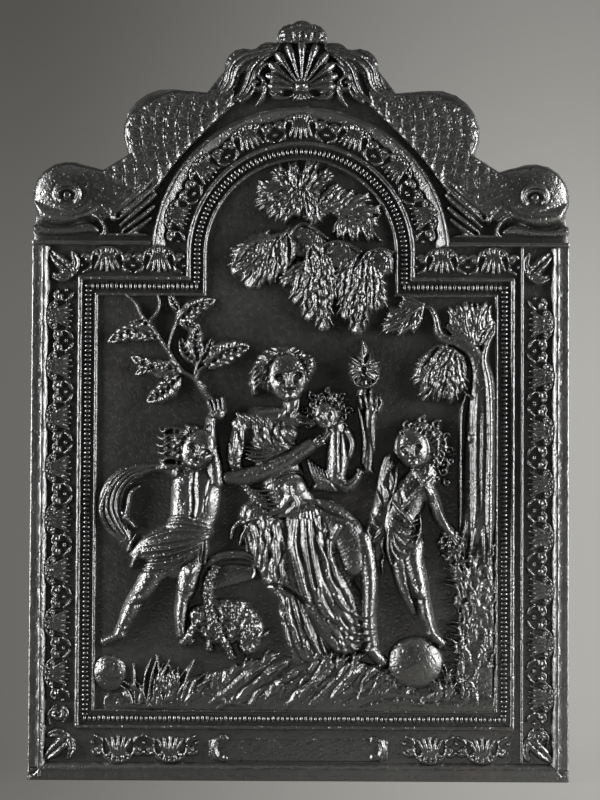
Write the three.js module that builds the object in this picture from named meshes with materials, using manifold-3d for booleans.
// Cast-iron fireback: a hearth plate with an arched panel in relief, pearl and leaf borders,
// and a crest of two dolphins that meet at a scallop shell.
//
// Millimetres, +Z up. The plate stands on its bottom edge and its decorated face looks along -Y.
// The origin is the middle of the bottom edge, halfway through the plate's thickness.
//
// Every raised piece is drawn on the plate's face: x to the right, y up the plate and z as the
// height of the relief. seat() then turns that drawing upright onto the plate's front.

import * as THREE from 'three';
import Module from 'manifold-3d';
import { mergeVertices } from 'three/addons/utils/BufferGeometryUtils.js';

const wasm = await Module();
wasm.setup();

// ---- driving dimensions -------------------------------------------------------------------

const PLATE_WIDTH = 600;
const SHOULDER_HEIGHT = 600;
const CREST_HEIGHT = 250; // above the shoulder
const PLATE_THICKNESS = 14;
const CLEARANCE = 0.3; // left between raised pieces that meet

const RIM_FLAT = 12;
const RIM_BEVEL = 8;
const RIM_HEIGHT = 6.5;
const RIM_RIDGE_HEIGHT = 8;
const SHOULDER_RIM_WIDTH = 5;

const FIELD_INSET_LEFT = 70; // from the plate's edge to the sunk panel
const FIELD_INSET_RIGHT = 79;
const FIELD_INSET_BOTTOM = 75;
const FIELD_INSET_TOP = 58;
const ARCH_RADIUS = 109; // of the sunk panel's round top
const ARCH_CENTRE_DROP = 15; // of the arch's centre below the shoulder
const ARCH_STEPS = 20;

const SIGHT_FILLET_WIDTH = 4; // thin moulding round the sunk panel
const SIGHT_FILLET_HEIGHT = 4;
const PEARL_WIDTH = 7.5;
const PEARL_PITCH = 5.2;
const PEARL_HEIGHT = 4.5;
const PEARL_SEAT = 0.8; // of an edge line on each side of the pearls
const BORDER_FILLET_WIDTH = 5; // between the pearls and the leaf border
const BORDER_FILLET_HEIGHT = 5;
const SIDE_LIST_WIDTH = 4; // extra moulding on the right-hand side
const SIDE_LIST_GAP = 6;

const LEAF_PITCH = 62;
const LEAF_LOBE_WIDTH = 34;
const LEAF_HEIGHT = 6.5;
const LEAF_SCROLL_SPREAD = 8; // from the middle line to a scroll's tips
const LEAF_SCROLL_OVERLAP = 3; // of the backs of a pair of scrolls
const LEAF_SCROLL_HEIGHT = 5;
const LEAF_STEM_WIDTH = 2.4;
const LEAF_BAND_MARGIN = 1.5; // bare strip on each side of the leaves

const ARCH_BAND_WIDTH = 30;
const ARCH_ROLL_WIDTH = 9;
const ARCH_ROLL_HEIGHT = 8;
const ARCH_GROOVE = 7; // between the arch's roll and the dolphins
const CREST_GROOVE = 4; // between the shoulder's rim and the dolphins

const CARTOUCHE_WIDTH = 190;
const CARTOUCHE_HEIGHT = 29;
const CARTOUCHE_LIP = 3;
const CARTOUCHE_RELIEF = 3.5;

const BALL_RADIUS = 31;
const BALL_RELIEF = 15;
const SHELL_RADIUS = 46;
const SHELL_BULGE = 12; // by which the middle ribs are longer than the outer ones
const SHELL_RIBS = 7;
const SHELL_RELIEF = 13;

// The crest's outline, right half, as round lobes: centre from the middle and above the
// shoulder, radius, and the angles between which the outline follows the lobe.
const JAW_LOBE = { x: 290, up: 13, radius: 11, from: -40, to: 48 };
const HEAD_LOBE = { x: 261, up: 49, radius: 40, from: -28, to: 104 };
const NAPE = { x: 222, up: 80 };
const BACK_LOBE = { x: 150, up: 121, radius: 50.5, from: -28, to: 98 };
const TAIL_DIP = { x: 106, up: 168 };
const OUTER_SCROLL_LOBE = { x: 65, up: 196, radius: 22, from: -8, to: 112 };
const INNER_SCROLL_LOBE = { x: 37, up: 207, radius: 18, from: 36, to: 100 };
const SHELL_HUB = 168; // of the scallop shell, above the shoulder
const BUD_RISE = 2; // of the bud's centre above the shell
const BUD_UP = SHELL_HUB + SHELL_RADIUS + SHELL_BULGE + BUD_RISE;
const BUD_LOBE = { x: 11, up: BUD_UP, radius: 18, from: -12, to: 78 };
const CAP_RISE = 6; // of the top lobe's centre above the bud's
const TOP_LOBE = { x: 0, up: BUD_UP + CAP_RISE, radius: 16, from: 45, to: 90 };
const JAW_OVERHANG = 1; // of the jaws beyond the plate's sides

// The picture as it is drawn, before it is fitted to the sunk panel.
const DRAWN_PANEL = { left: -230, right: 221, bottom: 75, top: 694 };

// ---- values worked out from the driving dimensions ----------------------------------------

const HALF_WIDTH = PLATE_WIDTH / 2;
const DRAWN_CREST_HALF_WIDTH = JAW_LOBE.x + JAW_LOBE.radius - JAW_OVERHANG;
const DRAWN_CREST_HEIGHT = TOP_LOBE.up + TOP_LOBE.radius;
const FRONT = -PLATE_THICKNESS / 2;
const RIM_WIDTH = RIM_FLAT + RIM_BEVEL;
const ARCH_CENTRE = SHOULDER_HEIGHT - ARCH_CENTRE_DROP;
const PEARLS_AT = SIGHT_FILLET_WIDTH + CLEARANCE + PEARL_SEAT;
const BORDER_FILLET_AT = PEARLS_AT + PEARL_WIDTH + PEARL_SEAT + CLEARANCE;
const BORDER_AT = BORDER_FILLET_AT + BORDER_FILLET_WIDTH;
const FIELD_LEFT = -HALF_WIDTH + FIELD_INSET_LEFT;
const FIELD_RIGHT = HALF_WIDTH - FIELD_INSET_RIGHT;
const FIELD_TOP = SHOULDER_HEIGHT - FIELD_INSET_TOP;
const ARCH_BAND_INNER = ARCH_RADIUS + BORDER_AT + CLEARANCE;
const ARCH_ROLL_INNER = ARCH_BAND_INNER + ARCH_BAND_WIDTH + CLEARANCE;
const ARCH_ROLL_OUTER = ARCH_ROLL_INNER + ARCH_ROLL_WIDTH;
const ARCH_TOP = ARCH_CENTRE + ARCH_RADIUS;
const RELIEF_LIMIT = 60; // more than any relief stands out
const TIDY = 0.1; // the most that thinning out small facets may move a surface

// ---- solids -------------------------------------------------------------------------------

/** A manifold solid from a closed three.js geometry. */
function solidFrom(geometry) {
  const bare = new THREE.BufferGeometry();
  bare.setAttribute('position', geometry.getAttribute('position').clone());
  if (geometry.index) bare.setIndex(geometry.index.clone());
  const merged = mergeVertices(bare, 1e-4);
  return new wasm.Manifold(new wasm.Mesh({
    numProp: 3,
    vertProperties: merged.getAttribute('position').array,
    triVerts: Uint32Array.from(merged.index.array),
  }));
}

/** Turns every face round if the closed surface is inside out. */
function facingOut(points, faces) {
  const cross = new THREE.Vector3();
  let volume = 0;
  for (const [a, b, c] of faces) {
    volume += cross.crossVectors(points[a], points[b]).dot(points[c]);
  }
  return volume < 0 ? faces.map(([a, b, c]) => [a, c, b]) : faces;
}

/** A solid from corner points and the triangles that join them. */
function solidOf(points, faces) {
  const geometry = new THREE.BufferGeometry().setFromPoints(points);
  geometry.setIndex(facingOut(points, faces).flat());
  return solidFrom(geometry);
}

/** Triangles between two neighbouring rings of count points, numbered from the starts given. */
function ringFaces(firstStart, secondStart, count) {
  const faces = [];
  for (let i = 0; i < count; i += 1) {
    const next = (i + 1) % count;
    faces.push([firstStart + i, firstStart + next, secondStart + next]);
    faces.push([firstStart + i, secondStart + next, secondStart + i]);
  }
  return faces;
}

/** A fan of triangles that closes one convex ring. */
function capFaces(start, count, turned) {
  const faces = [];
  for (let i = 1; i < count - 1; i += 1) {
    faces.push(turned ? [start, start + i + 1, start + i] : [start, start + i, start + i + 1]);
  }
  return faces;
}

/** A solid lofted through rings of equal point count, with a flat cap at each end. */
function loft(rings) {
  const count = rings[0].length;
  const faces = capFaces(0, count, true);
  for (let i = 1; i < rings.length; i += 1) faces.push(...ringFaces((i - 1) * count, i * count, count));
  faces.push(...capFaces((rings.length - 1) * count, count, false));
  return solidOf(rings.flat(), faces);
}

/** A solid that rises from a flat convex base to one peak. */
function peaked(base, peak) {
  const sides = base.map((point, i) => [i, (i + 1) % base.length, base.length]);
  return solidOf([...base, peak], [...capFaces(0, base.length, true), ...sides]);
}

/** A solid whose rings close on themselves, such as a moulding that runs all the way round. */
function closedLoft(rings) {
  const count = rings[0].length;
  const faces = rings.flatMap((ring, i) => ringFaces(i * count, ((i + 1) % rings.length) * count, count));
  return solidOf(rings.flat(), faces);
}

/** The outline [[x, y], ...] raised from one relief height to another. */
function raised(outline, from, to, hole) {
  const shape = new THREE.Shape(outline.map(([x, y]) => new THREE.Vector2(x, y)));
  if (hole) shape.holes.push(new THREE.Path(hole.map(([x, y]) => new THREE.Vector2(x, y))));
  const geometry = new THREE.ExtrudeGeometry(shape, { depth: to - from, bevelEnabled: false });
  geometry.translate(0, 0, from);
  return solidFrom(geometry);
}

function union(solids) {
  return wasm.Manifold.union(solids);
}

/** The same solid with its smallest facets thinned out. */
function tidied(solid) {
  return solid.asOriginal().simplify(TIDY);
}

/** The largest of the separate bodies that a cut may leave. */
function mainBody(solid) {
  const bodies = solid.decompose();
  return bodies.reduce((best, body) => (body.volume() > best.volume() ? body : best));
}

// ---- relief forms -------------------------------------------------------------------------

const radians = THREE.MathUtils.degToRad;

/** Fits a point of the drawn crest to the plate. */
function crestPlace([x, up]) {
  return [
    x * (HALF_WIDTH / DRAWN_CREST_HALF_WIDTH),
    SHOULDER_HEIGHT + up * (CREST_HEIGHT / DRAWN_CREST_HEIGHT),
  ];
}

/** Fits a point of the drawn picture to the sunk panel. */
function panelPlace([x, y]) {
  const { left, right, bottom, top } = DRAWN_PANEL;
  return [
    FIELD_LEFT + ((x - left) / (right - left)) * (FIELD_RIGHT - FIELD_LEFT),
    FIELD_INSET_BOTTOM + ((y - bottom) / (top - bottom)) * (ARCH_TOP - FIELD_INSET_BOTTOM),
  ];
}

/**
 * The forms that the relief is modelled with. All have a flat back on the plate's face, and
 * place fits a drawn point to the plate. With a margin the forms come out larger by it on every
 * side, to cut their neighbours.
 */
function reliefForms(place = (point) => point, margin = 0) {
  /** How long a short drawn step at a drawn point comes out on the plate. */
  function span([x, y], step) {
    const [fromX, fromY] = place([x, y]);
    const [toX, toY] = place([x + step.x, y + step.y]);
    return Math.hypot(toX - fromX, toY - fromY);
  }

  /** A half-round roll through stations [x, y, half width, height]. */
  function roll(stations, sides = 3) {
    const middles = stations.map(([x, y]) => new THREE.Vector2(...place([x, y])));
    const last = stations.length - 1;
    return loft(stations.map(([x, y, halfWidth, height], i) => {
      const along = middles[Math.min(i + 1, last)].clone().sub(middles[Math.max(i - 1, 0)]).normalize();
      const reach = halfWidth * span([x, y], new THREE.Vector2(-along.y, along.x)) + margin;
      const stretch = i === 0 ? -margin : (i === last ? margin : 0);
      const centre = middles[i].clone().addScaledVector(along, stretch);
      const ring = [];
      for (let k = 0; k <= sides; k += 1) {
        const angle = (Math.PI * k) / sides;
        const aside = reach * Math.cos(angle);
        const lift = k === 0 || k === sides ? 0 : (height + margin) * Math.sin(angle);
        ring.push(new THREE.Vector3(centre.x - along.y * aside, centre.y + along.x * aside, lift));
      }
      return ring;
    }));
  }

  /** A leaf or fold with one sharp ridge and pointed ends, from one point to another. */
  function blade([x0, y0], [x1, y1], halfWidth, height, bend = 0) {
    const aside = new THREE.Vector2(y0 - y1, x1 - x0).normalize();
    const widths = [0.35, 1, 0.12];
    return roll(widths.map((share, i) => {
      const t = i / (widths.length - 1);
      const bow = bend * 4 * t * (1 - t);
      const x = x0 + (x1 - x0) * t + aside.x * bow;
      const y = y0 + (y1 - y0) * t + aside.y * bow;
      return [x, y, halfWidth * share, height * (0.45 + 0.55 * share)];
    }), 2);
  }

  /** A leaf fan: blades from one foot to each tip. */
  function fan(foot, tips, halfWidth, height, bend = 0) {
    return union(tips.map((tip) => blade(foot, tip, halfWidth, height, bend)));
  }

  /** Half of an ellipsoid, its flat side on the face. rise lists the rings' elevations. */
  function dome(x, y, halfWidth, halfLength, height, turn = 0, segments = 8, rise = [0, 48]) {
    const [middleX, middleY] = place([x, y]);
    const angleStep = (2 * Math.PI) / segments;
    const turned = (point, angle) => point.rotateAround(new THREE.Vector2(), radians(angle));
    const width = halfWidth * span([x, y], turned(new THREE.Vector2(1, 0), turn)) + margin;
    const length = halfLength * span([x, y], turned(new THREE.Vector2(0, 1), turn)) + margin;
    return loft(rise.map(radians).map((elevation) => {
      const ring = [];
      const lift = (height + margin) * Math.sin(elevation);
      for (let i = 0; i < segments; i += 1) {
        const across = width * Math.cos(i * angleStep) * Math.cos(elevation);
        const up = length * Math.sin(i * angleStep) * Math.cos(elevation);
        const point = turned(new THREE.Vector2(across, up), turn);
        ring.push(new THREE.Vector3(middleX + point.x, middleY + point.y, lift));
      }
      return ring;
    }));
  }

  /** A head or a ball: a dome with enough rings to be round. */
  function round(x, y, halfWidth, halfLength, height, turn = 0) {
    return dome(x, y, halfWidth, halfLength, height, turn, 10, [0, 35, 65]);
  }

  return { roll, blade, fan, dome, round };
}

// ---- outlines -----------------------------------------------------------------------------

/** Points along a lobe of the crest's outline, on the side given (+1 or -1). */
function lobePoints({ x, up, radius, from, to }, side, steps) {
  const points = [];
  for (let i = 0; i <= steps; i += 1) {
    const angle = radians(from + ((to - from) * i) / steps);
    points.push(crestPlace([side * (x + radius * Math.cos(angle)), up + radius * Math.sin(angle)]));
  }
  return points;
}

/** Half of the crest's outline, from the shoulder to the top. */
function crestHalf(side) {
  return [
    ...lobePoints(JAW_LOBE, side, 3),
    ...lobePoints(HEAD_LOBE, side, 7),
    crestPlace([side * NAPE.x, NAPE.up]),
    ...lobePoints(BACK_LOBE, side, 7),
    crestPlace([side * TAIL_DIP.x, TAIL_DIP.up]),
    ...lobePoints(OUTER_SCROLL_LOBE, side, 5),
    ...lobePoints(INNER_SCROLL_LOBE, side, 3),
    ...lobePoints(BUD_LOBE, side, 4),
    ...lobePoints(TOP_LOBE, side, 2),
  ];
}

/** The whole plate's outline, anticlockwise. */
function plateOutline() {
  const right = crestHalf(1);
  const left = crestHalf(-1).reverse().slice(1);
  return [
    [-HALF_WIDTH, 0],
    [HALF_WIDTH, 0],
    [HALF_WIDTH, SHOULDER_HEIGHT],
    ...right,
    ...left,
    [-HALF_WIDTH, SHOULDER_HEIGHT],
  ];
}

/** The sunk panel's outline, widened by inset, anticlockwise from its lower right corner. */
function fieldOutline(inset) {
  const radius = ARCH_RADIUS + inset;
  const bottom = FIELD_INSET_BOTTOM - inset;
  const points = [[FIELD_RIGHT + inset, bottom], [FIELD_RIGHT + inset, FIELD_TOP + inset]];
  points.push([radius, FIELD_TOP + inset]);
  for (let i = 0; i <= ARCH_STEPS; i += 1) {
    const angle = (Math.PI * i) / ARCH_STEPS;
    points.push([radius * Math.cos(angle), ARCH_CENTRE + radius * Math.sin(angle)]);
  }
  points.push([-radius, FIELD_TOP + inset], [FIELD_LEFT - inset, FIELD_TOP + inset]);
  points.push([FIELD_LEFT - inset, bottom]);
  return points;
}

/** The crest above the shoulder and outside the arch's roll, where dolphins and shell lie. */
function crestZone() {
  const outline = [
    [HALF_WIDTH + RELIEF_LIMIT, SHOULDER_HEIGHT + CREST_GROOVE],
    [HALF_WIDTH + RELIEF_LIMIT, SHOULDER_HEIGHT * 2],
    [-HALF_WIDTH - RELIEF_LIMIT, SHOULDER_HEIGHT * 2],
    [-HALF_WIDTH - RELIEF_LIMIT, SHOULDER_HEIGHT + CREST_GROOVE],
  ];
  const arch = [];
  const radius = ARCH_ROLL_OUTER + ARCH_GROOVE;
  for (let i = 0; i <= ARCH_STEPS; i += 1) {
    const angle = Math.PI - (Math.PI * i) / ARCH_STEPS;
    const up = Math.max(ARCH_CENTRE + radius * Math.sin(angle), SHOULDER_HEIGHT + CREST_GROOVE);
    arch.push([radius * Math.cos(angle), up]);
  }
  return raised([...outline, ...arch], -RELIEF_LIMIT, RELIEF_LIMIT)
    .intersect(raised([...crestHalf(1), ...crestHalf(-1).reverse().slice(1)], -RELIEF_LIMIT, RELIEF_LIMIT));
}

function fieldZone() {
  return raised(fieldOutline(-CLEARANCE), -RELIEF_LIMIT, RELIEF_LIMIT);
}

// ---- plate and mouldings ------------------------------------------------------------------

/** The flat rough rim with its ridge and the bevel that falls to the leaf border. */
function rimSection() {
  return [
    [0, 0],
    [0, RIM_HEIGHT - 1],
    [1, RIM_HEIGHT],
    [RIM_FLAT - 1, RIM_HEIGHT],
    [RIM_FLAT, RIM_RIDGE_HEIGHT],
    [RIM_FLAT + 2, RIM_RIDGE_HEIGHT],
    [RIM_WIDTH, 1],
    [RIM_WIDTH, 0],
  ];
}

/** A rim bar: the section stands at each mitred end, whose place along the bar depends on t. */
function rimBar(place, startOf, endOf) {
  const ring = (at) => rimSection().map(([t, height]) => {
    const [x, y] = place(at(t), t);
    return new THREE.Vector3(x, y, height);
  });
  return loft([ring(startOf), ring(endOf)]);
}

function sideRim(side) {
  const place = (s, t) => [side * (HALF_WIDTH - t), s];
  return rimBar(place, (t) => t + CLEARANCE, () => SHOULDER_HEIGHT - SHOULDER_RIM_WIDTH - CLEARANCE);
}

function bottomRim() {
  const place = (s, t) => [s, t];
  return rimBar(place, (t) => -HALF_WIDTH + t + CLEARANCE, (t) => HALF_WIDTH - t - CLEARANCE);
}

/** The plain strip under the crest, from the plate's side to the foot of the arch's roll. */
function shoulderRim(side) {
  const low = SHOULDER_HEIGHT - SHOULDER_RIM_WIDTH;
  const inner = side * (ARCH_ROLL_OUTER + CLEARANCE);
  const outer = side * HALF_WIDTH;
  const strip = [[inner, low], [outer, low], [outer, SHOULDER_HEIGHT], [inner, SHOULDER_HEIGHT]];
  return raised(side > 0 ? strip : strip.reverse(), 0, RIM_HEIGHT);
}

/** A moulding that runs all the way round the sunk panel, with both its edges sloped. */
function fieldMoulding(at, width, height) {
  const section = [[at, 0], [at + width * 0.3, height], [at + width * 0.7, height], [at + width, 0]];
  return closedLoft(section.map(([inset, lift]) => (
    fieldOutline(inset).map(([x, y]) => new THREE.Vector3(x, y, lift))
  )));
}

/** The half-round roll over the arch, which dies into the shoulder strips. */
function archRoll() {
  const radius = ARCH_ROLL_INNER + ARCH_ROLL_WIDTH / 2;
  const foot = Math.asin((SHOULDER_HEIGHT - SHOULDER_RIM_WIDTH - ARCH_CENTRE) / radius);
  const stations = [];
  for (let i = 0; i <= ARCH_STEPS; i += 1) {
    const angle = foot + ((Math.PI - 2 * foot) * i) / ARCH_STEPS;
    const middle = [radius * Math.cos(angle), ARCH_CENTRE + radius * Math.sin(angle)];
    stations.push([...middle, ARCH_ROLL_WIDTH / 2, ARCH_ROLL_HEIGHT]);
  }
  return reliefForms().roll(stations, 4);
}

/** The plain extra moulding that only the right side has, outside its border fillet. */
function sideList() {
  const inner = FIELD_RIGHT + BORDER_AT + SIDE_LIST_GAP;
  const low = RIM_WIDTH + CLEARANCE;
  const high = SHOULDER_HEIGHT - SHOULDER_RIM_WIDTH - CLEARANCE;
  const middle = inner + SIDE_LIST_WIDTH / 2;
  const stations = [low, high].map((y) => [middle, y, SIDE_LIST_WIDTH / 2, BORDER_FILLET_HEIGHT]);
  return reliefForms().roll(stations, 4);
}

/**
 * A row of pearls: a ridge of peaks and dips that falls to a straight foot on each side. Two
 * pearls share one facet of the foot, and the two sides are staggered by a pearl. place(s, t)
 * gives the point s along the row and t across it.
 */
function pearlRow(place, length) {
  const count = 2 * Math.round(length / PEARL_PITCH / 2);
  const pitch = length / count;
  const points = [];
  const add = (i, t, lift) => points.push(new THREE.Vector3(...place(i * pitch, t), lift)) - 1;
  const ridge = [];
  for (let i = 0; i <= count; i += 1) {
    ridge.push(add(i, PEARL_WIDTH / 2, PEARL_HEIGHT * 0.35));
    if (i < count) ridge.push(add(i + 0.5, PEARL_WIDTH / 2, PEARL_HEIGHT));
  }
  const foot = (t, places) => places.map((i) => [i, add(i, t, 0)]);
  const even = [...Array(count / 2 + 1).keys()].map((i) => 2 * i);
  const odd = [0, ...even.slice(1).map((i) => i - 1), count];
  const near = foot(0, even);
  const far = foot(PEARL_WIDTH, odd);
  const faces = [...slope(near, ridge, false), ...slope(far, ridge, true), ...sole(near, far)];
  faces.push([near[0][1], ridge[0], far[0][1]], [near.at(-1)[1], far.at(-1)[1], ridge.at(-1)]);
  return solidOf(points, faces);
}

/** Faces from a straight foot [[place, index], ...] up to a ridge with two points per pearl. */
function slope(foot, ridge, turned) {
  const faces = [];
  for (let k = 0; k + 1 < foot.length; k += 1) {
    const [from, start] = foot[k];
    const [to, end] = foot[k + 1];
    const middle = from + to;
    for (let j = 2 * from; j < 2 * to; j += 1) {
      faces.push([j < middle ? start : end, ridge[j + 1], ridge[j]]);
    }
    faces.push([start, end, ridge[middle]]);
  }
  return turned ? faces.map(([a, b, c]) => [a, c, b]) : faces;
}

/** The flat underside between two straight feet whose places are staggered. */
function sole(near, far) {
  const faces = [];
  let [a, b] = [near[0][1], far[0][1]];
  let [i, j] = [1, 1];
  while (i < near.length || j < far.length) {
    const farNext = i === near.length || (j < far.length && far[j][0] < near[i][0]);
    const next = farNext ? far[j][1] : near[i][1];
    faces.push([a, b, next]);
    if (farNext) [b, j] = [next, j + 1];
    else [a, i] = [next, i + 1];
  }
  return faces;
}

/** The rows of pearls, which share their corners without touching. */
function pearlRows() {
  const near = PEARLS_AT;
  const left = FIELD_LEFT - near;
  const right = FIELD_RIGHT + near;
  const bottom = FIELD_INSET_BOTTOM - near;
  const shelf = FIELD_TOP + near;
  const archSide = ARCH_RADIUS + near;
  const sideFoot = bottom + CLEARANCE;
  const sideLength = shelf + PEARL_WIDTH - sideFoot;
  const legFoot = shelf + PEARL_WIDTH + CLEARANCE;
  const leg = ARCH_CENTRE - legFoot;
  const middleRadius = archSide + PEARL_WIDTH / 2;
  const arc = Math.PI * middleRadius;
  const alongArch = (s, t) => {
    if (s < leg) return [archSide + t, legFoot + s];
    if (s > leg + arc) return [-archSide - t, legFoot + 2 * leg + arc - s];
    const angle = (s - leg) / middleRadius;
    return [(archSide + t) * Math.cos(angle), ARCH_CENTRE + (archSide + t) * Math.sin(angle)];
  };
  return {
    pearls_left: pearlRow((s, t) => [left - t, sideFoot + s], sideLength),
    pearls_right: pearlRow((s, t) => [right + t, sideFoot + s], sideLength),
    pearls_bottom: pearlRow((s, t) => [left - PEARL_WIDTH + s, bottom - t], right - left + 2 * PEARL_WIDTH),
    pearls_shelf_left: pearlRow((s, t) => [left + CLEARANCE + s, shelf + t], -archSide - left - CLEARANCE),
    pearls_shelf_right: pearlRow((s, t) => [archSide + s, shelf + t], right - CLEARANCE - archSide),
    pearls_arch: pearlRow(alongArch, 2 * leg + arc),
  };
}

// ---- leaf borders -------------------------------------------------------------------------

/** A palmette lobe: narrow at its foot on the inner side, round and wide at the outer edge. */
function palmette(place, at, width) {
  const half = LEAF_LOBE_WIDTH / 2;
  const rightHalf = [
    [half * 0.3, width - LEAF_BAND_MARGIN],
    [half, width * 0.5],
    [half * 0.62, LEAF_BAND_MARGIN + 1.5],
  ];
  const leftHalf = rightHalf.map(([s, t]) => [-s, t]).reverse();
  const outline = [...rightHalf, [0, LEAF_BAND_MARGIN], ...leftHalf];
  const base = outline.map(([s, t]) => new THREE.Vector3(...place(at + s, t), 0));
  return peaked(base, new THREE.Vector3(...place(at, width * 0.42), LEAF_HEIGHT));
}

/** A C-scroll that holds a palmette between its tips and meets the next scroll at its back. */
function leafScroll(place, tipAt, backAt, width) {
  const spread = [-LEAF_SCROLL_SPREAD, 0, LEAF_SCROLL_SPREAD];
  const stations = spread.map((aside) => {
    const s = aside === 0 ? backAt : tipAt;
    return [...place(s, width / 2 + aside), LEAF_STEM_WIDTH, LEAF_SCROLL_HEIGHT];
  });
  return reliefForms().roll(stations, 2);
}

/** A run of palmettes, each held between two scrolls. */
function leafRun(place, length, width) {
  const count = Math.max(1, Math.round(length / LEAF_PITCH));
  const pitch = length / count;
  const tip = LEAF_LOBE_WIDTH * 0.3;
  const back = pitch / 2 + LEAF_SCROLL_OVERLAP / 2 - LEAF_STEM_WIDTH;
  const pieces = [];
  for (let i = 0; i < count; i += 1) {
    const middle = (i + 0.5) * pitch;
    pieces.push(palmette(place, middle, width));
    pieces.push(leafScroll(place, middle - tip, middle - back, width));
    pieces.push(leafScroll(place, middle + tip, middle + back, width));
  }
  return pieces;
}

/** Three leaves that fan out into a corner of the border. */
function cornerLeaf(foot, corner) {
  const { blade } = reliefForms();
  const spoke = new THREE.Vector2(corner[0] - foot[0], corner[1] - foot[1]);
  return [-24, 0, 24].map((turn) => {
    const tip = spoke.clone().rotateAround(new THREE.Vector2(), radians(turn));
    tip.multiplyScalar(turn === 0 ? 1 : 0.82).add(new THREE.Vector2(...foot));
    return blade(foot, [tip.x, tip.y], LEAF_SCROLL_SPREAD, LEAF_HEIGHT);
  });
}

/** Leaves trimmed to the band of plate face [left, bottom, right, top], less the clearance. */
function bandLeaves(solids, [left, bottom, right, top]) {
  const [l, b, r, t] = [left + CLEARANCE, bottom + CLEARANCE, right - CLEARANCE, top - CLEARANCE];
  const band = raised([[l, b], [r, b], [r, t], [l, t]], -RELIEF_LIMIT, RELIEF_LIMIT);
  return tidied(mainBody(union(solids).intersect(band)));
}

/** The upright leaf border on one side, with its corner leaves at the foot and the shoulder. */
function sideLeaves(side) {
  const outer = HALF_WIDTH - RIM_WIDTH;
  const inner = side < 0 ? bandEnd(side) : bandEnd(side) + SIDE_LIST_WIDTH;
  const width = outer - inner;
  const low = FIELD_INSET_BOTTOM + LEAF_SCROLL_SPREAD;
  const high = SHOULDER_HEIGHT - SHOULDER_RIM_WIDTH - width + LEAF_SCROLL_SPREAD;
  const place = (s, t) => [side * (outer - t), low + s];
  const middle = side * (outer - width / 2);
  const solids = leafRun(place, high - low, width);
  solids.push(...cornerLeaf([middle, low + LEAF_STEM_WIDTH], [side * outer, RIM_WIDTH]));
  solids.push(...cornerLeaf([middle, high - LEAF_STEM_WIDTH], [side * outer, high + width]));
  const [left, right] = side < 0 ? [-outer, -inner] : [inner, outer];
  return bandLeaves(solids, [left, RIM_WIDTH, right, SHOULDER_HEIGHT - SHOULDER_RIM_WIDTH]);
}

/** How far from the middle the level borders reach on one side. */
function bandEnd(side) {
  return side < 0 ? -FIELD_LEFT + BORDER_AT : FIELD_RIGHT + BORDER_AT + SIDE_LIST_GAP;
}

/** The leaf border under the panel, on one side of the bare cartouche. */
function bottomLeaves(side) {
  const inner = CARTOUCHE_WIDTH / 2;
  const end = bandEnd(side);
  const low = RIM_WIDTH;
  const high = FIELD_INSET_BOTTOM - BORDER_AT;
  const width = high - low;
  const place = (s, t) => [side * (inner + s), low + t];
  const reach = end - inner;
  const zone = side < 0 ? [-end, low, -inner, high] : [inner, low, end, high];
  return bandLeaves(leafRun(place, reach, width), zone);
}

/** The leaf border under the shoulder, from the side border to the foot of the arch. */
function shelfLeaves(side) {
  const end = bandEnd(side);
  const high = SHOULDER_HEIGHT - SHOULDER_RIM_WIDTH;
  const low = FIELD_TOP + BORDER_AT;
  const place = (s, t) => [side * (ARCH_BAND_INNER + s), high - t];
  const zone = side < 0 ? [-end, low, -ARCH_BAND_INNER, high] : [ARCH_BAND_INNER, low, end, high];
  return bandLeaves(leafRun(place, end - ARCH_BAND_INNER, high - low), zone);
}

/** The leaf border over the arch, from one shoulder strip to the other. */
function archLeaves() {
  const outer = ARCH_ROLL_INNER - CLEARANCE;
  const middle = (outer + ARCH_BAND_INNER) / 2;
  const foot = Math.asin((SHOULDER_HEIGHT - SHOULDER_RIM_WIDTH + CLEARANCE - ARCH_CENTRE) / outer);
  const place = (s, t) => {
    const angle = foot + s / middle;
    return [(outer - t) * Math.cos(angle), ARCH_CENTRE + (outer - t) * Math.sin(angle)];
  };
  const solids = leafRun(place, (Math.PI - 2 * foot) * middle, outer - ARCH_BAND_INNER);
  const above = SHOULDER_HEIGHT - SHOULDER_RIM_WIDTH;
  return bandLeaves(solids, [-HALF_WIDTH, above, HALF_WIDTH, above + HALF_WIDTH]);
}

/** The bare plate for a date, held between two curved brackets. */
function cartouche() {
  const half = CARTOUCHE_WIDTH / 2 - CLEARANCE;
  const low = RIM_WIDTH + CLEARANCE;
  const middle = low + CARTOUCHE_HEIGHT / 2;
  const high = low + CARTOUCHE_HEIGHT;
  const { roll } = reliefForms();
  const solids = [raised([[-half, low], [half, low], [half, high], [-half, high]], 0, 1.5)];
  for (const side of [-1, 1]) {
    const bracket = [-1, -0.5, 0, 0.5, 1].map((share) => [
      side * (half - CARTOUCHE_LIP - 6 * share * share),
      middle + share * (CARTOUCHE_HEIGHT / 2 - CARTOUCHE_LIP),
      CARTOUCHE_LIP / 2,
      CARTOUCHE_RELIEF,
    ]);
    solids.push(roll(bracket, 2));
  }
  return union(solids);
}

// ---- crest --------------------------------------------------------------------------------

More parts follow.
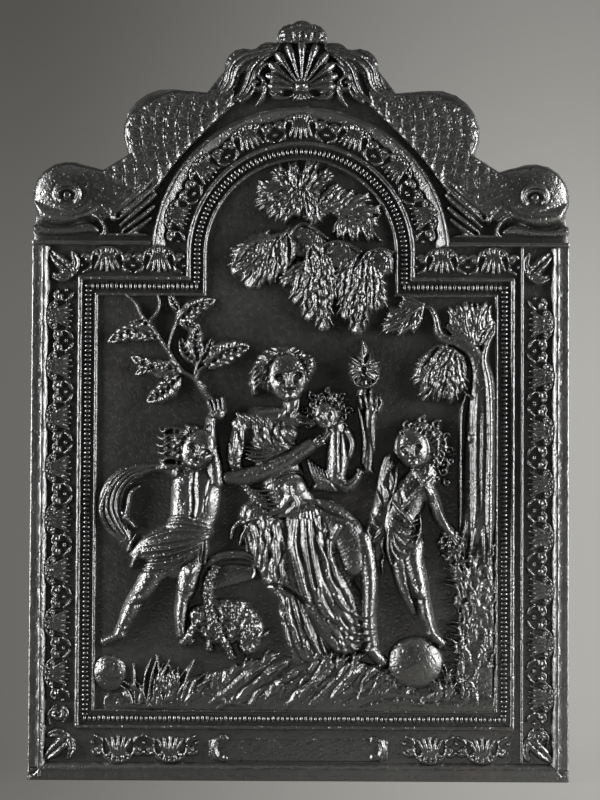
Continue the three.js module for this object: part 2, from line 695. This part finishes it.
/** The scallop shell: ribs that widen from the hub to their round ends. */
function shell({ roll, dome }) {
  const hub = SHELL_HUB;
  const ribs = [];
  for (let i = 0; i < SHELL_RIBS; i += 1) {
    const angle = radians(20 + (140 * i) / (SHELL_RIBS - 1));
    const length = SHELL_RADIUS + SHELL_BULGE * Math.sin(angle) ** 2;
    const at = (share, halfWidth, height) => [
      length * share * Math.cos(angle), hub + length * share * Math.sin(angle), halfWidth, height,
    ];
    ribs.push(roll([
      at(0.15, 3, SHELL_RELIEF * 0.6),
      at(0.85, 9, SHELL_RELIEF),
      at(1, 5, SHELL_RELIEF * 0.5),
    ]));
  }
  const foot = [-1, 1].map((side) => roll([
    [side * 40, hub + 8, 4, 8],
    [side * 24, hub - 3, 6, 10],
    [side * 8, hub - 4, 5, 9],
  ]));
  return [...ribs, ...foot, dome(0, hub - 4, 14, 7.5, 10), dome(0, hub + 12, 38, 18, 5)];
}

function bud({ dome }) {
  return [dome(2, BUD_UP, 29, 16, 11), dome(0, TOP_LOBE.up + CAP_RISE, 15, 11, 9)];
}

/** Acanthus scroll beside the shell. side is +1 on the right. */
function crestScroll({ roll, dome }, side) {
  const path = (stations) => roll(stations.map(([x, up, w, h]) => [side * x, up, w, h]), 2);
  return [
    path([[30, 214, 8, 8], [50, 206, 9, 10], [60, 186, 8, 10], [67, 170, 7, 9], [92, 157, 5, 6]]),
    path([[56, 210, 7, 8], [74, 200, 10, 9], [82, 178, 9, 9], [104, 160, 4, 5]]),
    path([[47, 200, 5, 8], [42, 184, 5, 9], [54, 156, 4, 7]]),
    dome(side * 53, 174, 9, 9, 10),
    dome(side * 60, 190, 30, 28, 9, side * -40),
  ];
}

/** A dolphin, its head on the shoulder's corner and its tail at the scrolls. */
function dolphin({ roll, dome, round, blade }, side) {
  const path = (stations, sides) => roll(stations.map(([x, up, w, h]) => [side * x, up, w, h]), sides);
  const brow = [-40, 40, 120, 200].map((turn) => [
    260 + 15 * Math.cos(radians(turn)), 49 + 14 * Math.sin(radians(turn)), 4, 14,
  ]);
  const finRib = (from, to) => blade([side * from[0], from[1]], [side * to[0], to[1]], 7, 13, side * 3);
  return [
    round(side * 262, 48, 40, 42, 12),
    dome(side * 260, 49, 8, 8, 15),
    path(brow, 2),
    path([[302, 28, 7, 8], [262, 22, 9, 10], [226, 18, 8, 10]], 2),
    path([[300, 11, 9, 9], [268, 8, 7, 8], [222, 14, 8, 9]], 2),
    path([[256, 56, 30, 12], [218, 52, 30, 12], [188, 88, 30, 12], [160, 134, 32, 10],
      [130, 148, 24, 9], [104, 154, 16, 8], [82, 160, 10, 7]]),
    path([[236, 20, 20, 9], [204, 22, 22, 8], [180, 18, 16, 7]]),
    finRib([166, 76], [212, 30]),
    finRib([170, 52], [206, 12]),
  ];
}

// ---- the scene in the panel ---------------------------------------------------------------

/** A leaf whose root lies part of the way from a mass's middle to the leaf's tip. */
function sprung({ blade }, [x, y], [tipX, tipY], halfWidth, height, root = 0.4) {
  return blade([x + (tipX - x) * root, y + (tipY - y) * root], [tipX, tipY], halfWidth, height);
}

/** A leaf cluster: a rounded mass with leaves that spring from it. */
function cluster(forms, middle, [halfWidth, halfLength], height, tips, leafWidth) {
  const leaves = tips.map((tip) => sprung(forms, middle, tip, leafWidth, height + 2));
  return [forms.dome(...middle, halfWidth, halfLength, height), ...leaves];
}

function womanFigure({ roll, dome, round }) {
  return [
    round(-14, 446, 19, 25, 19, -14),
    dome(-34, 452, 19, 26, 15, 12),
    dome(-12, 468, 30, 15, 15, -6),
    roll([[-14, 428, 10, 13], [-12, 400, 12, 13]]),
    roll([[-66, 390, 12, 12], [-38, 396, 19, 15], [18, 392, 14, 12]]),
    roll([[-28, 394, 32, 15], [-30, 362, 30, 15], [-14, 308, 25, 14]]),
    dome(-2, 324, 19, 18, 17),
    roll([[-64, 394, 12, 15], [-72, 364, 12, 16], [-84, 340, 10, 14]]),
    roll([[-84, 339, 9, 14], [-50, 345, 11, 18], [14, 370, 8, 18], [24, 378, 6, 15]]),
    roll([[-62, 382, 14, 9], [-58, 348, 14, 9]]),
    roll([[2, 392, 12, 8], [4, 362, 14, 8]]),
    roll([[-60, 322, 8, 11], [-36, 316, 10, 13], [-14, 308, 10, 14]]),
  ];
}

/** The skirt: a low body with ridged folds over it, the knee, and the bare shin and foot. */
function womanSkirt({ roll, dome }) {
  const folds = [
    [[-60, 300, 8, 9], [-30, 298, 9, 13], [10, 300, 9, 14], [52, 288, 7, 10]],
    [[-72, 268, 6, 7], [-62, 286, 9, 9], [-44, 294, 9, 10]],
    [[-40, 290, 8, 12], [-40, 255, 11, 14], [-38, 217, 8, 12]],
    [[-9, 288, 9, 14], [-7, 255, 12, 17], [2, 222, 11, 16], [11, 194, 8, 13]],
    [[6, 290, 7, 13], [19, 215, 9, 14], [38, 178, 7, 11]],
    [[28, 245, 9, 13], [44, 205, 9, 12], [78, 170, 7, 10]],
    [[-24, 212, 7, 10], [-12, 176, 8, 11], [-6, 142, 7, 9]],
    [[38, 190, 8, 9], [44, 158, 8, 9], [54, 132, 6, 8]],
  ];
  return [
    roll([[-12, 296, 36, 9], [-8, 250, 44, 9], [14, 165, 36, 8], [14, 144, 26, 7]]),
    ...folds.map((fold) => roll(fold, 2)),
    roll([[6, 290, 20, 12], [34, 276, 24, 15], [56, 262, 24, 17]]),
    roll([[38, 274, 16, 10], [48, 232, 20, 10], [62, 186, 18, 9]]),
    dome(58, 256, 22, 26, 18),
    roll([[64, 250, 16, 17], [76, 215, 12, 16], [78, 172, 8, 12], [84, 148, 8, 11],
      [101, 129, 6, 7]]),
  ];
}

function raisedArm({ roll }) {
  return [roll([[80, 346, 9, 9], [78, 366, 12, 13], [76, 392, 11, 13], [76, 414, 9, 13], [72, 430, 11, 13]])];
}

function flamingVase({ roll, dome, fan }) {
  return [
    dome(71, 452, 19, 15, 14),
    roll([[58, 440, 7, 10], [72, 436, 9, 12], [86, 440, 7, 10]]),
    fan([72, 458], [[66, 482], [75, 490], [86, 474]], 6, 13),
  ];
}

function infant({ roll, dome, round }) {
  return [
    round(30, 408, 18, 18, 17),
    dome(44, 416, 14, 14, 14),
    dome(24, 422, 14, 9, 14),
    roll([[38, 394, 15, 14], [42, 366, 15, 15], [42, 342, 13, 14]]),
    roll([[28, 388, 7, 14], [12, 382, 6, 14]]),
    roll([[44, 336, 10, 14], [57, 332, 8, 13], [66, 344, 5, 10]]),
  ];
}

function childWithBough({ roll, dome, round }) {
  return [
    round(-116, 369, 22, 21, 17),
    dome(-134, 368, 20, 26, 15),
    dome(-150, 358, 11, 14, 11),
    dome(-146, 380, 11, 10, 11),
    roll([[-116, 344, 25, 13], [-116, 316, 26, 14], [-120, 286, 24, 13]], 5),
    roll([[-99, 344, 12, 14], [-97, 372, 10, 14], [-98, 398, 9, 13], [-96, 414, 10, 13]]),
    roll([[-114, 328, 18, 9], [-116, 362, 18, 9]]),
    roll([[-98, 280, 8, 12], [-130, 268, 18, 14], [-166, 246, 16, 12]]),
    roll([[-132, 262, 20, 13], [-150, 240, 18, 14], [-164, 212, 16, 14], [-178, 192, 12, 13],
      [-190, 168, 9, 11]]),
    roll([[-192, 164, 8, 10], [-206, 158, 8, 9], [-217, 154, 6, 7]]),
    roll([[-116, 258, 20, 13], [-120, 230, 15, 14], [-124, 204, 12, 12], [-129, 182, 9, 11],
      [-130, 164, 8, 10]]),
    roll([[-137, 161, 5, 7], [-121, 160, 7, 8]]),
  ];
}

function scarf({ roll }) {
  return [roll([[-160, 347, 4, 6], [-184, 343, 8, 9], [-204, 328, 12, 10], [-213, 305, 13, 10],
    [-205, 284, 11, 9], [-192, 268, 7, 7], [-186, 256, 4, 5]])];
}

function hipCloth({ roll }) {
  return [roll([[-102, 240, 7, 9], [-86, 250, 7, 9], [-66, 248, 7, 9], [-50, 240, 5, 7]])];
}

/** The leafy bough that the child holds up: a forked stem with paired leaves. */
function bough({ roll, blade }) {
  return [
    roll([[-96, 420, 5, 9], [-118, 446, 4, 8], [-135, 458, 3.5, 7], [-150, 482, 3, 7], [-166, 505, 3, 6],
      [-182, 524, 2.5, 6], [-196, 538, 2, 5]], 2),
    roll([[-150, 482, 3, 7], [-147, 500, 2.5, 6], [-136, 522, 2, 5]], 2),
    roll([[-166, 505, 2.5, 6], [-160, 522, 2.5, 6], [-159, 543, 2, 5]], 2),
    blade([-168, 502], [-214, 491], 9, 8, 3),
    blade([-148, 480], [-190, 459], 10, 8, 3),
    blade([-132, 454], [-170, 422], 10, 8, 3),
    blade([-126, 452], [-114, 506], 12, 9, -3),
    blade([-118, 446], [-58, 474], 13, 9, 4),
    blade([-142, 510], [-98, 532], 8, 8, 3),
    blade([-166, 506], [-148, 470], 7, 7, 2),
    blade([-160, 532], [-146, 556], 6, 6, 2),
  ];
}

function lamb({ roll, dome }) {
  return [
    dome(-84, 168, 34, 26, 13),
    dome(-110, 182, 15, 14, 12),
    dome(-66, 182, 16, 14, 12),
    roll([[-118, 176, 7, 9], [-122, 152, 6, 8]]),
    roll([[-56, 168, 7, 9], [-52, 152, 6, 8]]),
  ];
}

function garland({ roll }) {
  return [roll([[-99, 228, 6, 10], [-106, 210, 6, 10], [-100, 190, 6, 15], [-88, 164, 6, 15],
    [-74, 136, 5, 9]])];
}

function childOnBall({ roll, dome, round }) {
  return [
    round(127, 368, 19, 22, 17, -8),
    dome(148, 368, 21, 28, 15),
    dome(128, 390, 20, 12, 13),
    dome(160, 348, 10, 14, 12),
    roll([[138, 354, 12, 12], [141, 338, 16, 13], [124, 314, 20, 15], [112, 288, 22, 14],
      [114, 262, 22, 13]], 5),
    dome(136, 328, 12, 13, 14),
    roll([[146, 334, 10, 14], [151, 312, 9, 13], [150, 292, 8, 12], [162, 280, 7, 10]]),
    roll([[106, 256, 16, 13], [113, 228, 14, 13], [120, 204, 12, 12]]),
    roll([[122, 262, 18, 14], [132, 228, 13, 14], [138, 200, 11, 12], [144, 176, 9, 11], [152, 164, 8, 9]]),
  ];
}

/** The child's cloth, which falls in folds beside the body. */
function childCloth({ roll, blade }) {
  return [
    roll([[100, 366, 6, 9], [94, 334, 11, 12], [94, 300, 12, 12], [88, 268, 12, 11], [80, 240, 8, 9]]),
    blade([92, 330], [80, 352], 5, 11),
    blade([90, 288], [72, 300], 6, 11),
  ];
}

function posy({ dome, blade }) {
  return [
    dome(166, 276, 9, 11, 11),
    dome(173, 260, 10, 9, 10),
    blade([168, 258], [166, 238], 5, 9),
    blade([176, 258], [180, 240], 5, 9),
  ];
}

function treeTrunk({ roll }) {
  return [
    roll([[196, 236, 20, 7], [202, 270, 15, 9], [204, 350, 13, 9], [204, 430, 13, 9], [198, 462, 11, 9],
      [184, 482, 8, 8], [166, 490, 6, 8], [155, 504, 5, 8], [146, 522, 4, 7], [132, 526, 4, 7]]),
    roll([[184, 268, 5, 6], [183, 360, 5, 6], [188, 432, 6, 7], [200, 452, 6, 7]], 3),
    roll([[192, 262, 12, 5], [192, 440, 12, 5]], 2),
  ];
}

function leafSpray(forms) {
  const middle = [116, 514];
  const leaves = [[90, 500], [104, 496], [132, 534], [132, 498], [96, 522]].map((tip) => (
    sprung(forms, middle, tip, 6, 10)
  ));
  return [forms.dome(...middle, 21, 15, 8, 20), ...leaves];
}

function droopingLeaves(forms) {
  const middle = [160, 466];
  const leaves = [[136, 430], [154, 420], [171, 428], [182, 446], [130, 456]].map((tip) => (
    sprung(forms, middle, tip, 8, 12, 0.3)
  ));
  return [forms.dome(...middle, 29, 20, 9, 20), ...leaves];
}

/** The sweeping folds of ground that the figures stand on. */
function groundMound({ roll, dome }) {
  return [
    dome(0, 96, 200, 22, 5, 0, 12),
    roll([[-92, 86, 6, 7], [-62, 112, 8, 9], [-30, 140, 8, 8]], 2),
    roll([[-48, 86, 6, 7], [-26, 104, 7, 9], [-4, 120, 6, 7]], 2),
    roll([[2, 92, 6, 7], [22, 112, 7, 9], [34, 132, 6, 8]], 2),
    roll([[44, 94, 6, 7], [56, 116, 7, 9], [74, 132, 6, 8]], 2),
  ];
}

function boulder({ dome }) {
  return [dome(-207, 118, 20, 22, 10)];
}

/** A tuft of grass: a low foot along the ground with a blade from each of its places. */
function tuft({ roll, blade }, foot, blades, bend) {
  return [roll(foot), ...blades.map(([from, to]) => blade(from, to, 5, 9, bend))];
}

function grassLeft(forms) {
  return tuft(forms, [[-180, 98, 7, 7], [-150, 92, 7, 8], [-112, 94, 6, 7]], [
    [[-178, 96], [-197, 140]],
    [[-170, 96], [-184, 154]],
    [[-161, 96], [-165, 158]],
    [[-152, 96], [-148, 146]],
    [[-140, 95], [-142, 152]],
    [[-128, 95], [-118, 148]],
  ], 4);
}

function grassRight(forms) {
  return tuft(forms, [[184, 80, 6, 7], [196, 112, 7, 8], [203, 170, 7, 8]], [
    [[186, 84], [214, 108]],
    [[194, 108], [217, 150]],
    [[194, 116], [172, 142]],
    [[198, 140], [174, 186]],
    [[202, 152], [217, 196]],
    [[203, 166], [212, 232]],
    [[200, 168], [184, 226]],
  ], -4);
}

/** The tree's crown: five leafy masses, each with its own leaves. */
const CROWN = {
  crown_low_left: [[-46, 578], [24, 16], 10, [[-80, 572], [-62, 546], [-34, 540], [-52, 604], [-8, 610]], 9],
  crown_low_middle: [[8, 548], [22, 24], 11, [[-22, 560], [-14, 530], [6, 508], [26, 496], [30, 572]], 9],
  crown_low_right: [[64, 550], [26, 32], 11, [[44, 520], [60, 494], [84, 506], [92, 560], [72, 590]], 9],
  crown_top_left: [[-16, 658], [30, 26], 10, [[-46, 640], [-30, 628], [-22, 688], [4, 692], [16, 672]], 9],
  crown_top_right: [[46, 632], [22, 14], 10, [[32, 662], [56, 662], [88, 632], [70, 610], [24, 618]], 8],
};

// ---- assembly -----------------------------------------------------------------------------

/**
 * The relief pieces of one zone, the foremost first. Each is cut back by the clearance from
 * all that stand in front of it, and trimmed to the zone.
 */
function carve(zone, place, makers) {
  const front = [];
  const carved = {};
  for (const [name, make] of Object.entries(makers)) {
    let solid = union(make(reliefForms(place))).intersect(zone);
    for (const cutter of front) solid = solid.subtract(cutter);
    carved[name] = tidied(mainBody(solid));
    front.push(union(make(reliefForms(place, CLEARANCE))));
  }
  return carved;
}

function panelScene() {
  const crown = Object.entries(CROWN).map(([name, form]) => [name, (forms) => cluster(forms, ...form)]);
  return carve(fieldZone(), panelPlace, {
    woman_figure: womanFigure,
    infant,
    woman_skirt: womanSkirt,
    flaming_vase: flamingVase,
    raised_arm: raisedArm,
    child_with_bough: childWithBough,
    bough,
    scarf,
    ball: ({ round }) => [round(129, 131, BALL_RADIUS, BALL_RADIUS, BALL_RELIEF)],
    posy,
    child_on_ball: childOnBall,
    child_cloth: childCloth,
    lamb,
    garland,
    hip_cloth: hipCloth,
    ...Object.fromEntries(crown),
    leaf_spray: leafSpray,
    drooping_leaves: droopingLeaves,
    boulder,
    grass_left: grassLeft,
    grass_right: grassRight,
    tree_trunk: treeTrunk,
    ground_mound: groundMound,
  });
}

function crest() {
  return carve(crestZone(), crestPlace, {
    scallop_shell: shell,
    crest_bud: bud,
    crest_scroll_left: (forms) => crestScroll(forms, -1),
    crest_scroll_right: (forms) => crestScroll(forms, 1),
    dolphin_left: (forms) => dolphin(forms, -1),
    dolphin_right: (forms) => dolphin(forms, 1),
  });
}

function frame() {
  return {
    rim_left: sideRim(-1),
    rim_right: sideRim(1),
    rim_bottom: bottomRim(),
    rim_shoulder_left: shoulderRim(-1),
    rim_shoulder_right: shoulderRim(1),
    arch_roll: archRoll(),
    border_fillet: fieldMoulding(BORDER_FILLET_AT, BORDER_FILLET_WIDTH, BORDER_FILLET_HEIGHT),
    sight_fillet: fieldMoulding(0, SIGHT_FILLET_WIDTH, SIGHT_FILLET_HEIGHT),
    side_list_right: sideList(),
    ...pearlRows(),
    leaf_border_left: sideLeaves(-1),
    leaf_border_right: sideLeaves(1),
    leaf_border_bottom_left: bottomLeaves(-1),
    leaf_border_bottom_right: bottomLeaves(1),
    leaf_border_shelf_left: shelfLeaves(-1),
    leaf_border_shelf_right: shelfLeaves(1),
    leaf_border_arch: archLeaves(),
    cartouche: cartouche(),
  };
}

/** Stands a solid drawn on the plate's face upright on the plate's front. */
function seat(solid) {
  const { numProp, vertProperties, triVerts } = solid.getMesh();
  const positions = [];
  for (let i = 0; i < vertProperties.length; i += numProp) {
    const [x, y, z] = vertProperties.slice(i, i + 3);
    positions.push(x, FRONT - z, y);
  }
  const geometry = new THREE.BufferGeometry();
  geometry.setAttribute('position', new THREE.Float32BufferAttribute(positions, 3));
  geometry.setIndex([...triVerts]);
  geometry.computeVertexNormals();
  return geometry;
}

const IRON = { color: 0x2d2e2c, roughness: 0.38, metalness: 0.9 };
const ROUGH_IRON = { color: 0x33332f, roughness: 0.62, metalness: 0.85 };

function pieceMesh(name, solid, finish) {
  const mesh = new THREE.Mesh(seat(solid), new THREE.MeshStandardMaterial(finish));
  mesh.name = name;
  return mesh;
}

const fireback = new THREE.Group();
fireback.add(pieceMesh('back_plate', raised(plateOutline(), -PLATE_THICKNESS, 0), ROUGH_IRON));
for (const [name, solid] of Object.entries({ ...frame(), ...crest(), ...panelScene() })) {
  fireback.add(pieceMesh(name, solid, name.startsWith('rim') ? ROUGH_IRON : IRON));
}

export default fireback;
